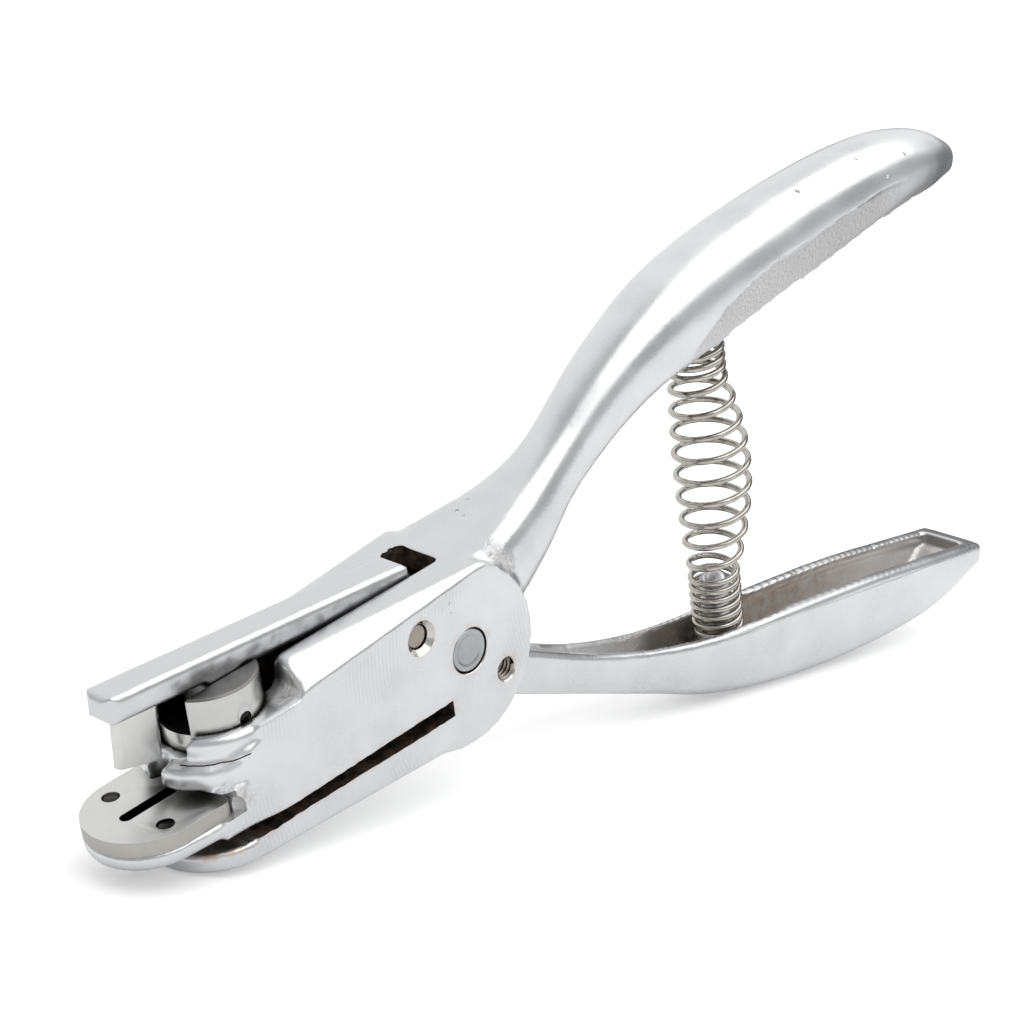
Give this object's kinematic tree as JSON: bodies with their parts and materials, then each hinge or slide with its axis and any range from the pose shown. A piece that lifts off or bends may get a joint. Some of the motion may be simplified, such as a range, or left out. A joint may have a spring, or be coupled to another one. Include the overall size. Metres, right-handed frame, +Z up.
{
  "type": "hole punch pliers",
  "caption": "Hand-held slot punch pliers: cast frame and lever on a rivet, blade over a pinned die plate, guide plunger and return spring between hollow handles.",
  "frame": {"origin": "on the ground, under the middle of the tool's length and width", "axes": "+X from the jaw to the handles, +Z up, with the tool standing on its lower lip and lower handle"},
  "size_m": [0.1582, 0.0156, 0.0734],
  "materials": {
    "casting": "polished casting",
    "ground_steel": "ground",
    "pin_steel": "turned",
    "spring_wire": "bright drawn wire"
  },
  "bodies": {
    "frame": {"frame_casting": "casting", "pivot_rivet": "pin_steel", "stop_pin": "pin_steel", "die_plate": "ground_steel", "die_pin_near": "pin_steel", "die_pin_far": "pin_steel", "return_spring": "spring_wire"},
    "lever": {"lever_casting": "casting", "slot_blade": "ground_steel"},
    "plunger": {"guide_plunger": "ground_steel", "plunger_cross_pin": "pin_steel"}
  },
  "joints": [
    {"name": "lever_pivot", "type": "hinge", "parent": "frame", "child": "lever", "pos_m": [-0.03146, 0, 0.01932], "axis": [0, -1, 0], "range_deg": [0, 9.5], "stiffness_Nm_per_rad": 2.1, "springref_deg": -5.73, "deforming": ["return_spring"]},
    {"name": "plunger_slide", "type": "slide", "parent": "frame", "child": "plunger", "axis": [0.2653, 0, -0.9642], "range_m": [0, 0.0053]}
  ],
  "couplings": [
    {"joint": "plunger_slide", "follows": "lever_pivot", "m_per_rad": 0.0314}
  ]
}
